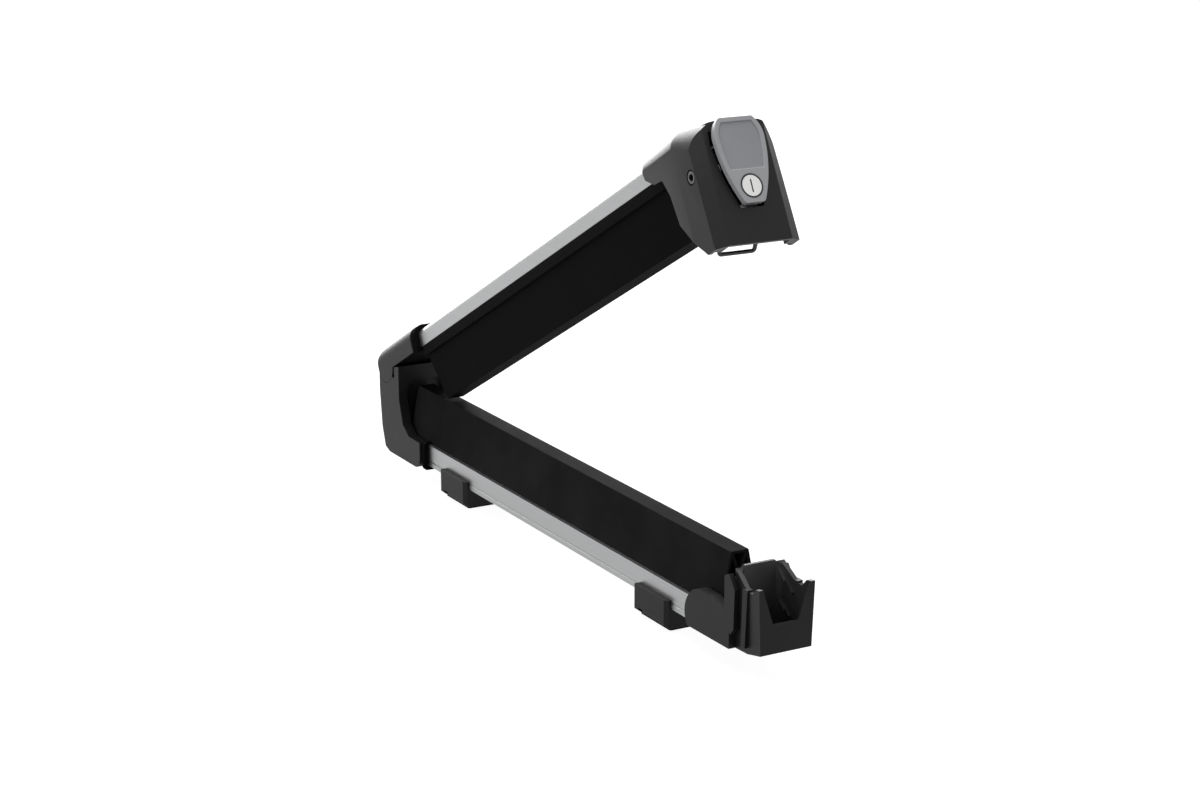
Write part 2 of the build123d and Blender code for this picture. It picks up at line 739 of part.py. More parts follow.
# Catch lever: hub on the shoulder pin, plate behind the button, two arms for the wire bail
with BuildPart() as catch_lever:
    with BuildSketch(arm_side):
        with BuildLine():
            Polyline(
                (housing_front + 0.8, 1.0),
                (housing_front - 2.4, 1.0),
                (housing_front - 6.0, -14.5),
                (housing_front - 18.5, -16.5),
                (housing_front - 18.5, -30.0),
                (housing_front - 17.0, -40.0),
                (housing_front - 27.5, -57.0),
                (housing_front - 25.5, -61.0),
                (housing_front - 20.5, -61.5),
                (housing_front - 8.0, -47.5),
                (housing_front + 0.8, -47.0),
                close=True,
            )
        make_face()
    extrude(amount=lever_half_width, both=True)
    with BuildSketch(arm_side):
        with BuildLine():
            Polyline(
                (housing_front - 17.2, -46.5),
                (housing_front - 17.2, -34.0),
                (housing_front - 51.0, -34.0),
                (housing_front - 51.0, -75.0),
                (housing_front, -75.0),
                (housing_front - 7.0, -46.5),
                close=True,
            )
        make_face()
    extrude(amount=lever_half_width - 3.0, both=True, mode=Mode.SUBTRACT)
    for side in (-1, 1):
        with BuildSketch(arm_section(housing_front - 8.5)):
            with Locations((side * 7.0, -28.0)):
                Rectangle(20, 40, align=(Align.MIN if side > 0 else Align.MAX, Align.MAX))
        extrude(amount=20, mode=Mode.SUBTRACT)
    with BuildSketch(arm_side):
        with Locations((latch_pin_u, latch_pin_n)):
            Circle(latch_pin_radius + 0.05)
        with Locations((bail_u + 9.3, bail_n + 13.5)):
            Circle(bail_wire_radius + 0.05)
    extrude(amount=30, both=True, mode=Mode.SUBTRACT)
    with BuildSketch(arm_section(housing_front - 41.0)):
        with Locations((0, lock_n)):
            Circle(barrel_radius + 0.05)
    extrude(amount=60, mode=Mode.SUBTRACT)
catch_lever.part.label = "catch_lever"

# Wire bail, bent from one rod, with its ends turned into the lever's arms
bail_points = [
    arm_side.from_local_coords(point)
    for point in (
        (bail_u + 9.3, bail_n + 13.5, -lever_half_width + 3.2),
        (bail_u + 9.3, bail_n + 13.5, -bail_half_width),
        (bail_u + 5.6, bail_n + 5.4, -bail_half_width),
        (bail_u, bail_n, -bail_half_width),
        (bail_u, bail_n, bail_half_width),
        (bail_u + 5.6, bail_n + 5.4, bail_half_width),
        (bail_u + 9.3, bail_n + 13.5, bail_half_width),
        (bail_u + 9.3, bail_n + 13.5, lever_half_width - 3.2),
    )
]
with BuildPart() as catch_bail:
    with BuildLine() as bail_path:
        FilletPolyline(*bail_points, radius=2.0)
    with BuildSketch(Plane(origin=bail_path.line @ 0, z_dir=bail_path.line % 0)):
        Circle(bail_wire_radius)
    sweep()
catch_bail.part.label = "catch_bail"

# Push button, with a sunk panel and a hole for the lock
with BuildPart() as push_button:
    with BuildSketch(arm_section(housing_front + button_stand - button_thickness)) as button_face:
        with BuildLine():
            Polyline((-12.9, 11.0), (12.9, 11.0))
            ThreePointArc((12.9, 11.0), (17.9, 3.5), (19.1, -5.6))
            ThreePointArc((19.1, -5.6), (15.3, -29.0), (7.6, -48.6))
            Line((7.6, -48.6), (-7.6, -48.6))
            ThreePointArc((-7.6, -48.6), (-15.3, -29.0), (-19.1, -5.6))
            ThreePointArc((-19.1, -5.6), (-17.9, 3.5), (-12.9, 11.0))
        make_face()
        fillet(button_face.vertices().group_by(Axis.Y)[0], 3.0)
        fillet(button_face.vertices().group_by(Axis.Y)[-1], 2.0)
    extrude(amount=button_thickness)
    with BuildSketch(arm_section(housing_front + button_stand)):
        add(button_face.sketch_local)
        offset(amount=-3.4, kind=Kind.INTERSECTION)
        with Locations((0, lock_n)):
            Rectangle(60, 24, mode=Mode.SUBTRACT)
        with Locations((0, lock_n - 12)):
            Rectangle(60, 24, mode=Mode.SUBTRACT)
    extrude(amount=-0.8, mode=Mode.SUBTRACT)
    with BuildSketch(arm_section(housing_front)):
        with Locations((0, lock_n)):
            Circle(barrel_radius + 0.05)
    extrude(amount=20, mode=Mode.SUBTRACT)
push_button.part.label = "push_button"

# Lock barrel and plug
with BuildPart() as lock_barrel:
    with BuildSketch(arm_section(housing_front - 18.0)):
        with Locations((0, lock_n)):
            Circle(barrel_radius)
    extrude(amount=button_stand + 18.2)
    with BuildSketch(arm_section(housing_front - 19.0)):
        with Locations((0, lock_n)):
            Circle(plug_radius + 0.05)
    extrude(amount=40, mode=Mode.SUBTRACT)
    with BuildSketch(arm_section(housing_front + button_stand - 2.0)):
        with Locations((0, lock_n)):
            Circle(lock_face_radius + 0.05)
    extrude(amount=20, mode=Mode.SUBTRACT)
lock_barrel.part.label = "lock_barrel"

with BuildPart() as lock_plug:
    with BuildSketch(arm_section(housing_front - 23.0)):
        with Locations((0, lock_n)):
            Circle(plug_radius)
    extrude(amount=button_stand + 21.0)
    with BuildSketch(arm_section(housing_front + button_stand - 2.0)):
        with Locations((0, lock_n)):
            Circle(lock_face_radius)
    extrude(amount=2.0)
    with BuildSketch(arm_section(housing_front + button_stand)):
        with Locations((0, lock_n)):
            Rectangle(1.0, 8.8)
    extrude(amount=-6.0, mode=Mode.SUBTRACT)
    with BuildSketch(arm_section(housing_front - 24.0)):
        with Locations((0, lock_n)):
            Rectangle(20, 20)
            Rectangle(5.6, 5.6, mode=Mode.SUBTRACT)
    extrude(amount=4.5, mode=Mode.SUBTRACT)
lock_plug.part.label = "lock_plug"

with BuildPart() as lock_cam:
    with BuildSketch(arm_section(housing_front - 22.6)):
        with Locations((0, lock_n)):
            Circle(5.2)
        with Locations((0, lock_n - 5.6)):
            Rectangle(7.0, 11.2)
        with Locations((0, lock_n)):
            Rectangle(5.7, 5.7, mode=Mode.SUBTRACT)
    extrude(amount=2.6)
lock_cam.part.label = "lock_cam"

# End cap: a sleeve over the lower profile that carries the catch cup
with BuildPart() as end_cap:
    with BuildSketch(Plane.XZ):
        with BuildLine():
            Spline(
                (cap_rear_x + 4.0, foot_rise - cap_floor),
                (cap_rear_x, foot_rise + 10.0),
                (cap_rear_x + 5.0, foot_rise + 22.0),
                (cap_rear_x + 24.0, foot_rise + cap_ledge_height),
            )
            Polyline(
                (cap_rear_x + 24.0, foot_rise + cap_ledge_height),
                (cap_rear_x + 34.0, foot_rise + cap_ledge_height),
                (cup_rear_x - 2.0, foot_rise + 24.8),
                (cup_rear_x + 2.0, foot_rise + 24.8),
                (cup_rear_x + 2.0, foot_rise - cap_floor + 0.6),
                (cap_rear_x + 4.0, foot_rise - cap_floor),
            )
        make_face()
    extrude(amount=cap_half_width, both=True)
    # Catch cup, drafted outwards to its rim
    with BuildSketch(Plane.XY.offset(foot_rise - cap_floor + 0.6)):
        with BuildLine():
            Polyline(
                (cup_rear_x, cup_sole_half_width - cup_rear_inset + 1.5),
                (front_x, cup_sole_half_width),
                (front_x, -cup_sole_half_width),
                (cup_rear_x, -cup_sole_half_width + cup_rear_inset - 1.5),
                close=True,
            )
        make_face()
    with BuildSketch(Plane.XY.offset(foot_rise + cup_top)):
        with BuildLine():
            Polyline(
                (cup_rear_x, cup_rim_half_width - cup_rear_inset),
                (front_x, cup_rim_half_width),
                (front_x, -cup_rim_half_width),
                (cup_rear_x, -cup_rim_half_width + cup_rear_inset),
                close=True,
            )
        make_face()
    loft()
    with BuildSketch(Plane.XZ):
        with BuildLine():
            Polyline(
                (cup_rear_x - 30.0, foot_rise - cap_floor - 0.6),
                (cup_rear_x + 4.0, foot_rise - 0.6),
                (cup_rear_x + 18.5, foot_rise + 0.4),
                (front_x + 1.0, foot_rise + cup_bottom_rise + 0.3),
                (front_x + 1.0, foot_rise - 10),
                (cup_rear_x - 30.0, foot_rise - 10),
                close=True,
            )
        make_face()
    extrude(amount=60, both=True, mode=Mode.SUBTRACT)
    # Inside of the cup
    with BuildSketch(Plane.XY.offset(foot_rise + cup_floor)):
        with BuildLine():
            Polyline(
                (cup_rear_x + cup_wall, cup_inner_rear_half_width),
                (cup_rear_x + cup_wall + cup_inner_corner, cup_inner_half_width),
                (front_x - cup_wall, cup_inner_front_half_width),
                (front_x - cup_wall, -cup_inner_front_half_width),
                (cup_rear_x + cup_wall + cup_inner_corner, -cup_inner_half_width),
                (cup_rear_x + cup_wall, -cup_inner_rear_half_width),
                close=True,
            )
        make_face()
    extrude(amount=80, mode=Mode.SUBTRACT)
    # Side walls fall away from the back wall and rise again at the front corners
    with BuildSketch(Plane.XZ):
        with BuildLine():
            Polyline(
                (cup_rear_x + cup_wall, foot_rise + cup_top + 1),
                (cup_rear_x + cup_wall, foot_rise + cup_top - 1.0),
                (cup_rear_x + 19.0, foot_rise + cup_side_top),
                (cup_rear_x + 26.3, foot_rise + cup_side_top - 0.8),
                (front_x - 5.0, foot_rise + cup_corner_top - 0.8),
                (front_x + 1.0, foot_rise + cup_corner_top),
                (front_x + 1.0, foot_rise + cup_top + 1),
                close=True,
            )
        make_face()
    extrude(amount=60, both=True, mode=Mode.SUBTRACT)
    # Notch in the front wall
    with BuildSketch(Plane.YZ.offset(front_x - 2 * cup_wall)):
        with BuildLine():
            Polyline(
                (-notch_half_width, foot_rise + notch_height),
                (notch_half_width, foot_rise + notch_height),
                (notch_mouth_half_width, foot_rise + cup_corner_top),
                (notch_mouth_half_width, foot_rise + cup_corner_top + 20),
                (-notch_mouth_half_width, foot_rise + cup_corner_top + 20),
                (-notch_mouth_half_width, foot_rise + cup_corner_top),
                close=True,
            )
        make_face()
    extrude(amount=20, mode=Mode.SUBTRACT)
    # Back wall narrows to its top
    for side in (-1, 1):
        with BuildSketch(Plane.YZ.offset(cup_rear_x - 1)):
            with BuildLine():
                Polyline(
                    (side * 12.1, foot_rise + cup_top + 1),
                    (side * 12.1, foot_rise + cup_top),
                    (side * cup_rim_half_width, foot_rise + cup_side_top - 2.0),
                    (side * 30, foot_rise + cup_side_top - 2.0),
                    (side * 30, foot_rise + cup_top + 1),
                    close=True,
                )
            make_face()
        extrude(amount=cup_wall + 1, mode=Mode.SUBTRACT)
    # Slanted guide ribs on the side walls, and the catch teeth at their upper ends
    for side in (-1, 1):
        for high, low, reach, proud in (
            (54.0, 37.9, 16.0, rib_height),
            (54.0, 45.0, tooth_reach, tooth_length),
            (32.0, 20.5, 13.0, rib_height),
            (32.0, 24.0, tooth_reach, tooth_length),
        ):
            with BuildSketch(Plane.XZ.offset(-side * (cup_inner_half_width + 1.6))):
                with BuildLine():
                    Polyline(
                        (cup_rear_x + cup_wall - 0.5, foot_rise + high),
                        (cup_rear_x + cup_wall - 0.5 + reach, foot_rise + low),
                        (cup_rear_x + cup_wall - 0.5 + reach, foot_rise + low - tooth_thickness),
                        (cup_rear_x + cup_wall - 0.5, foot_rise + high - 1.6 * tooth_thickness),
                        close=True,
                    )
                make_face()
            extrude(amount=side * (proud + 1.6))
    # Socket for the profile and passage for the rubber
    with BuildSketch(Plane.YZ.offset(cap_rear_x - 5)):
        with Locations((0, foot_rise + lower_profile_height / 2)):
            Rectangle(profile_width + 2 * profile_fit, lower_profile_height + 2 * profile_fit)
        with Locations((0, profile_top)):
            Rectangle(rubber_base_width + 0.8, 60, align=(Align.CENTER, Align.MIN))
    extrude(amount=profile_end_x - cap_rear_x + 5.2, mode=Mode.SUBTRACT)
    # Pointed ears beside the rubber's end, and the upright ribs in front of them
    for side in (-1, 1):
        with BuildSketch(Plane.XZ.offset(-side * (half_profile + 1.2))):
            with BuildLine():
                Polyline(
                    (cup_rear_x - 4.5, foot_rise + 50.5),
                    (cup_rear_x + 1.0, foot_rise + 53.0),
                    (cup_rear_x + 8.5, foot_rise + 43.5),
                    (cup_rear_x + 7.5, foot_rise + 15.0),
                    (cup_rear_x + 3.0, foot_rise + 10.0),
                    (cup_rear_x - 4.5, foot_rise + 27.0),
                    close=True,
                )
            make_face()
        extrude(amount=-side * 3.8)
        with BuildSketch(Plane.XZ.offset(-side * (half_profile - 1.4))):
            with BuildLine():
                Polyline(
                    (cup_rear_x + 15.5, foot_rise + 47.0),
                    (cup_rear_x + 21.5, foot_rise + 47.0),
                    (cup_rear_x + 19.0, foot_rise + 5.0),
                    (cup_rear_x + 14.0, foot_rise + 5.0),
                    close=True,
                )
            make_face()
        extrude(amount=-side * 4.6)
    with Locations(
        Location((cap_rear_x + 26.0, 9.5, foot_rise)), Location((cap_rear_x + 26.0, -9.5, foot_rise))
    ):
        Cylinder(screw_radius + 0.15, 6, mode=Mode.SUBTRACT)
end_cap.part.label = "end_cap"

with BuildPart() as cap_screws:
    with Locations(
        Location((cap_rear_x + 26.0, 9.5, foot_rise - cap_floor)),
        Location((cap_rear_x + 26.0, -9.5, foot_rise - cap_floor)),
    ):
        Cylinder(screw_radius, 8.0, align=(Align.CENTER, Align.CENTER, Align.MIN))
        Cylinder(3.6, 2.0, align=(Align.CENTER, Align.CENTER, Align.MAX))
cap_screws.part.label = "cap_screws"

# Feet: a block that hugs the profile, a rubber pad below and a slot nut inside the T-slot
for name, centre_x in (("rear", -foot_offset), ("front", foot_offset)):
    with BuildPart() as foot:
        with BuildSketch(Plane.YZ.offset(centre_x - foot_length / 2)) as foot_shape:
            with BuildLine():
                Polyline(
                    (-foot_sole_half_width, pad_thickness),
                    (foot_sole_half_width, pad_thickness),
                    (foot_half_width, pad_thickness + 3.0),
                    (foot_half_width, foot_hook_height),
                    (-foot_half_width, foot_hook_height),
                    (-foot_half_width, pad_thickness + 3.0),
                    close=True,
                )
            make_face()
            with Locations((0, foot_rise - profile_fit)):
                Rectangle(
                    profile_width + 2 * profile_fit, 30, align=(Align.CENTER, Align.MIN), mode=Mode.SUBTRACT
                )
        extrude(amount=foot_length)
        corners = foot.edges().filter_by(Axis.Z).group_by(Axis.X)[-1]
        chamfer(corners.filter_by(lambda edge: abs(edge.center().Y) > foot_half_width - 0.1), 2.5)
        with Locations((centre_x, 0, 0)):
            Cylinder(
                bolt_bore_radius, 2 * foot_rise, align=(Align.CENTER, Align.CENTER, Align.MIN),
                mode=Mode.SUBTRACT,
            )
        with BuildSketch(Plane.XY.offset(pad_thickness)):
            with GridLocations(0, 2 * 12.5, 1, 2):
                with Locations((centre_x, 0)):
                    RectangleRounded(foot_length - 12.0, 9.0, 2.0)
        extrude(amount=11.0, mode=Mode.SUBTRACT)
        for side in (-1, 1):
            with Locations((centre_x - 1.5, side * foot_half_width, 0)):
                Box(
                    foot_length - 15.0, 5.0, pad_thickness + 5.0,
                    align=(Align.CENTER, Align.CENTER, Align.MIN), mode=Mode.SUBTRACT,
                )
    foot.part.label = f"{name}_foot"
    with BuildPart() as pad:
        with BuildSketch(Plane.XY):
            with Locations((centre_x, 0)):
                RectangleRounded(foot_length - 2.0, 2 * foot_sole_half_width - 1.0, 2.0)
                Circle(bolt_bore_radius + 0.7, mode=Mode.SUBTRACT)
        extrude(amount=pad_thickness)
    pad.part.label = f"{name}_pad"
    with BuildPart() as nut:
        with BuildSketch(Plane.XY.offset(channel_z + 0.05)):
            with Locations((centre_x, 0)):
                Rectangle(nut_size, nut_size)
        extrude(amount=nut_thickness)
        with BuildSketch(Plane.XY.offset(foot_rise - profile_fit)):
            with Locations((centre_x, 0)):
                Rectangle(nut_size - 4.0, slot_opening - 0.6)
        extrude(amount=slot_lip + profile_fit + 1.0)
        with Locations((centre_x, 0, foot_rise)):
            Cylinder(nut_thread_radius, 40, mode=Mode.SUBTRACT)
    nut.part.label = f"{name}_nut"
    os.makedirs("parts", exist_ok=True)
    export_step(foot.part, f"parts/{name}_foot.step")
    export_step(pad.part, f"parts/{name}_pad.step")
    export_step(nut.part, f"parts/{name}_nut.step")

for piece in (
    lower_profile, lower_rubber, hinge_post, post_cap, post_screws, lower_gasket, hinge_slider,
    hinge_pin, upper_profile, upper_rubber, hinge_knuckle, knuckle_screws, upper_gasket, lock_housing,
    latch_pin, latch_spring, catch_lever, catch_bail, push_button, lock_barrel, lock_plug, lock_cam,
    end_cap, cap_screws,
):
    export_step(piece.part, f"parts/{piece.part.label}.step")
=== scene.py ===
import math

import bpy
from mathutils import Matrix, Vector


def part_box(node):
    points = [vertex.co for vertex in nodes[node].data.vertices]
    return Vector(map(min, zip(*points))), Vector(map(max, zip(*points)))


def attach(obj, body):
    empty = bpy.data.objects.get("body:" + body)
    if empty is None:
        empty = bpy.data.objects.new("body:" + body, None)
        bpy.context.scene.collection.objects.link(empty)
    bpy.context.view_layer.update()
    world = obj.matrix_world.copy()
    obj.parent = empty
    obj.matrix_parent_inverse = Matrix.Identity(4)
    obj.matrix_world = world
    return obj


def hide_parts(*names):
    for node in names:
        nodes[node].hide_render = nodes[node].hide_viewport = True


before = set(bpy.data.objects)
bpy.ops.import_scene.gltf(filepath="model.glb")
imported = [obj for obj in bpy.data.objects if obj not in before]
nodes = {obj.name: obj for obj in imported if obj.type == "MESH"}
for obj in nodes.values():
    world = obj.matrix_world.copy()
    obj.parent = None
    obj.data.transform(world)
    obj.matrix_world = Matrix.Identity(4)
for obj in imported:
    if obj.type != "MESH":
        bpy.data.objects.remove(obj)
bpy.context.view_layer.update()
bpy.ops.object.select_all(action="DESELECT")

# Camera: a 73 mm lens on a full frame, at the photograph's viewing angle. It stands in front of
# the catch cup, to the right of the carrier and a little above it.
camera_data = bpy.data.cameras.new("camera")
camera_data.sensor_width = 36.0
camera_data.lens = 73.35
camera_data.clip_end = 50.0
camera = bpy.data.objects.new("camera", camera_data)
camera.location = (1.5802, -0.8607, 0.6216)
camera.rotation_euler = (math.radians(74.62), 0.0, math.radians(60.7))
bpy.context.scene.collection.objects.link(camera)
bpy.context.scene.camera = camera


# Floor: plain white studio paper, laid just under the pads. It shows as white, also in metal,
# and keeps a faint shadow under the carrier.
def whiteness(tree, to_camera, mirrored):
    """How white a surface shows: straight to the camera, and in what reflects or refracts it."""
    rays = tree.nodes.new("ShaderNodeLightPath")
    straight = tree.nodes.new("ShaderNodeMath")
    straight.operation = "MULTIPLY"
    straight.inputs[1].default_value = to_camera
    tree.links.new(rays.outputs["Is Camera Ray"], straight.inputs[0])
    bounced = tree.nodes.new("ShaderNodeMath")
    bounced.operation = "MAXIMUM"
    tree.links.new(rays.outputs["Is Glossy Ray"], bounced.inputs[0])
    tree.links.new(rays.outputs["Is Transmission Ray"], bounced.inputs[1])
    shown = tree.nodes.new("ShaderNodeMath")
    shown.operation = "MULTIPLY_ADD"
    shown.inputs[1].default_value = mirrored
    tree.links.new(bounced.outputs[0], shown.inputs[0])
    tree.links.new(straight.outputs[0], shown.inputs[2])
    return shown.outputs[0]


paper_side, paper_level = 12.0, -0.0006
bpy.ops.mesh.primitive_plane_add(size=paper_side, location=(0.0, 0.0, paper_level))
floor = bpy.context.object
floor.name = "floor"
floor_paper = bpy.data.materials.new("floor_paper")
floor_paper.use_nodes = True
paper = floor_paper.node_tree
paper_shader = paper.nodes["Principled BSDF"]
paper_shader.inputs["Base Color"].default_value = (0.2, 0.2, 0.2, 1.0)
paper_shader.inputs["Roughness"].default_value = 0.9
paper_shader.inputs["Emission Color"].default_value = (1.0, 1.0, 1.0, 1.0)
paper_white = whiteness(paper, to_camera=0.92, mirrored=0.5)
paper.links.new(paper_white, paper_shader.inputs["Emission Strength"])
floor.data.materials.append(floor_paper)
bpy.ops.object.select_all(action="DESELECT")

# Studio: a dim room that shows as white behind the carrier, and three soft boxes. The largest
# stands behind the hinge and draws the light edges along the arms.
scene = bpy.context.scene
scene.view_settings.view_transform = "Standard"
world = bpy.data.worlds.new("studio")
world.use_nodes = True
scene.world = world
room = world.node_tree
room_light = room.nodes["Background"]
room_light.inputs["Color"].default_value = (1.0, 1.0, 1.0, 1.0)
room_light.inputs["Strength"].default_value = 0.45
room_seen = room.nodes.new("ShaderNodeBackground")
room_seen.inputs["Color"].default_value = (1.0, 1.0, 1.0, 1.0)
room_seen.inputs["Strength"].default_value = 1.0
room_mix = room.nodes.new("ShaderNodeMixShader")
room.links.new(whiteness(room, to_camera=1.0, mirrored=0.55), room_mix.inputs["Fac"])
room.links.new(room_light.outputs[0], room_mix.inputs[1])
room.links.new(room_seen.outputs[0], room_mix.inputs[2])
room.links.new(room_mix.outputs[0], room.nodes["World Output"].inputs["Surface"])

lamps_aim = Vector((0.0, 0.0, 0.15))
for lamp_name, place, watts, side in (
    ("soft_box_above", (-0.6, 0.2, 2.3), 42.0, 1.8),
    ("soft_box_back", (-3.3, 0.9, 1.2), 130.0, 3.0),
    ("soft_box_side", (1.0, -2.2, 0.9), 9.0, 1.4),
):
    lamp_data = bpy.data.lights.new(lamp_name, "AREA")
    lamp_data.energy = watts
    lamp_data.size = side
    lamp = bpy.data.objects.new(lamp_name, lamp_data)
    lamp.location = place
    lamp.rotation_euler = (lamps_aim - Vector(place)).to_track_quat("-Z", "Y").to_euler()
    lamp.visible_camera = False
    scene.collection.objects.link(lamp)

# Aluminium profiles: extruded bars, satin anodised. The die leaves fine lines along each arm
# and rounds the long edges by a few tenths of a millimetre. The saw cuts are deburred.
opening_angle = 27.75


def mark_outer_edges(shape, sharper_than):
    """Gives a bevel weight to the edges that stick out. The inner corners stay as they are."""
    face_along = {}
    for face in shape.polygons:
        corners = list(face.vertices)
        for start, end in zip(corners, corners[1:] + corners[:1]):
            face_along[start, end] = face
    weights = shape.attributes.new("bevel_weight_edge", "FLOAT", "EDGE")
    for edge in shape.edges:
        start, end = edge.vertices
        if (start, end) not in face_along or (end, start) not in face_along:
            continue
        one_side, other_side = face_along[start, end].normal, face_along[end, start].normal
        along = shape.vertices[end].co - shape.vertices[start].co
        sticks_out = one_side.cross(other_side).dot(along) > 0.0
        if sticks_out and one_side.angle(other_side, 0.0) > math.radians(sharper_than):
            weights.data[edge.index].value = 1.0


def eased_copy(node, name, body, finishes, radius, sharper_than=32.0):
    """A new piece with the node's shape, its outer edges rounded. It stands for the node.

    The first finish is for the faces, and the second, if there is one, for the rounded edges.
    """
    weld, nearly_flat, smooth_below = 0.000004, math.radians(1.2), math.radians(28.0)
    piece = bpy.data.objects.new(name, nodes[node].data.copy())
    bpy.context.scene.collection.objects.link(piece)
    bpy.ops.object.select_all(action="DESELECT")
    piece.select_set(True)
    bpy.context.view_layer.objects.active = piece
    bpy.ops.object.mode_set(mode="EDIT")
    bpy.ops.mesh.select_all(action="SELECT")
    bpy.ops.mesh.remove_doubles(threshold=weld)
    bpy.ops.mesh.dissolve_limited(angle_limit=nearly_flat)
    bpy.ops.mesh.normals_make_consistent(inside=False)
    bpy.ops.object.mode_set(mode="OBJECT")
    piece.data.materials.clear()
    for finish in finishes:
        piece.data.materials.append(finish)
    mark_outer_edges(piece.data, sharper_than)
    easing = piece.modifiers.new("easing", "BEVEL")
    easing.width = radius
    easing.segments = 3
    easing.limit_method = "WEIGHT"
    easing.material = 1
    bpy.ops.object.modifier_apply(modifier="easing")
    piece.data.attributes.remove(piece.data.attributes["bevel_weight_edge"])
    bpy.ops.object.shade_smooth_by_angle(angle=smooth_below)
    flat = piece.modifiers.new("flat", "WEIGHTED_NORMAL")
    flat.weight = 100
    flat.keep_sharp = True
    bpy.ops.object.modifier_apply(modifier="flat")
    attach(piece, body)
    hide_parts(node)
    return piece


def new_finish(name):
    """A new material, its node tree, its shader and the place on the piece in metres."""
    finish = bpy.data.materials.new(name)
    finish.use_nodes = True
    tree = finish.node_tree
    place = tree.nodes.new("ShaderNodeTexCoord").outputs["Object"]
    return finish, tree, tree.nodes["Principled BSDF"], place


def along_arm(tree, place, pitch, lengthwise, crosswise):
    """The place turned to an arm's slope and squeezed, so that a pattern runs along the arm."""
    turn = tree.nodes.new("ShaderNodeMapping")
    turn.inputs["Rotation"].default_value = (0.0, math.radians(pitch), 0.0)
    turn.inputs["Scale"].default_value = (lengthwise, crosswise, crosswise)
    tree.links.new(place, turn.inputs["Vector"])
    return turn.outputs["Vector"]


def grain(tree, place, scale, detail):
    speckle = tree.nodes.new("ShaderNodeTexNoise")
    speckle.inputs["Scale"].default_value = scale
    speckle.inputs["Detail"].default_value = detail
    tree.links.new(place, speckle.inputs["Vector"])
    return speckle.outputs["Fac"]


def colour_by(tree, shader, pattern, dark, light, dark_until=0.0, light_from=1.0):
    shade = tree.nodes.new("ShaderNodeValToRGB")
    dark_end, light_end = shade.color_ramp.elements
    dark_end.position = dark_until
    dark_end.color = (*dark, 1.0)
    light_end.position = light_from
    light_end.color = (*light, 1.0)
    tree.links.new(pattern, shade.inputs["Fac"])
    tree.links.new(shade.outputs["Color"], shader.inputs["Base Color"])


def roughness_by(tree, shader, pattern, polished, dull):
    rough = tree.nodes.new("ShaderNodeMapRange")
    rough.inputs["To Min"].default_value = polished
    rough.inputs["To Max"].default_value = dull
    tree.links.new(pattern, rough.inputs["Value"])
    tree.links.new(rough.outputs["Result"], shader.inputs["Roughness"])


def bump_by(tree, shader, pattern, strength, depth):
    bump = tree.nodes.new("ShaderNodeBump")
    bump.inputs["Strength"].default_value = strength
    bump.inputs["Distance"].default_value = depth
    tree.links.new(pattern, bump.inputs["Height"])
    tree.links.new(bump.outputs["Normal"], shader.inputs["Normal"])


def anodised_extrusion(name, pitch):
    finish, tree, shader, place = new_finish(name)
    shader.inputs["Metallic"].default_value = 1.0
    lines_place = along_arm(tree, place, pitch, lengthwise=1.5, crosswise=900.0)
    die_lines = grain(tree, lines_place, scale=1.0, detail=3.0)
    colour_by(tree, shader, die_lines, (0.46, 0.465, 0.47), (0.60, 0.605, 0.61))
    roughness_by(tree, shader, die_lines, polished=0.28, dull=0.40)
    bump_by(tree, shader, die_lines, strength=0.08, depth=0.0002)
    return finish


for node, name, body, pitch in (
    ("lower_profile", "lower_bar", "base", 0.0),
    ("upper_profile", "upper_bar", "arm", opening_angle),
):
    satin = [anodised_extrusion(name + part, pitch) for part in ("_anodised", "_edge")]
    eased_copy(node, name, body, satin, radius=0.0003)


# Rubber strips: hollow black extrusions that close on the skis, with soft edges. The skin is
# matt, with faint lines along the arm and a slightly dusty bloom. The foot of each strip is
# pressed into the channel of its bar.
def soft_rubber(name, pitch, painted_lightness):
    """Black rubber. The last argument scales its colour, to paint light and shade on a piece."""
    finish, tree, shader, place = new_finish(name)
    shader.inputs["Specular IOR Level"].default_value = 0.04
    lines_place = along_arm(tree, place, pitch, lengthwise=6.0, crosswise=260.0)
    lines = grain(tree, lines_place, scale=1.0, detail=4.0)
    bloom = grain(tree, place, scale=22.0, detail=5.0)
    clean = [painted_lightness * part for part in (0.0035, 0.0035, 0.0038)]
    dusty = [painted_lightness * part for part in (0.0068, 0.0068, 0.0073)]
    colour_by(tree, shader, bloom, clean, dusty, dark_until=0.35, light_from=0.7)
    roughness_by(tree, shader, bloom, polished=0.66, dull=0.82)
    bump_by(tree, shader, lines, strength=0.12, depth=0.0004)
    return finish


# The strips' rounded edges are painted paler, a painted highlight, and their upward faces
# darker, a painted shade.
edge_highlight, top_shade_level, facing_up = 1.5, 0.5, 0.8
# The lower strip is painted paler than the upper: painted light on the lower, painted shade on
# the upper.
for node, name, body, pitch, painted_lightness in (
    ("lower_rubber", "lower_strip", "base", 0.0, 2.9),
    ("upper_rubber", "upper_strip", "arm", opening_angle, 1.1),
):
    skin = soft_rubber(name + "_skin", pitch, painted_lightness)
    edge = soft_rubber(name + "_edge", pitch, edge_highlight * painted_lightness)
    top_shade_skin = soft_rubber(name + "_painted_top_shade", pitch, top_shade_level)
    skins = [skin, edge, top_shade_skin]
    strip = eased_copy(node, name, body, skins, radius=0.0007)
    # Faces that look up get the darker skin: painted shade.
    for face in strip.data.polygons:
        if face.material_index == skins.index(skin) and face.normal.z > facing_up:
            face.material_index = skins.index(top_shade_skin)

# Gaskets: two thin rubber rings that close the gap between the hinge mouldings and the bars.
# They are pressed on, and stand a little proud of the mouldings.
for node, name, body, pitch in (
    ("lower_gasket", "lower_ring", "base", 0.0),
    ("upper_gasket", "upper_ring", "arm", opening_angle),
):
    # The ring's rounded edges get a paler skin than the ring: a painted highlight.
    skins = [
        soft_rubber(name + "_skin", pitch, painted_lightness=0.7),
        soft_rubber(name + "_edge", pitch, painted_lightness=0.9),
    ]
    eased_copy(node, name, body, skins, radius=0.0008)
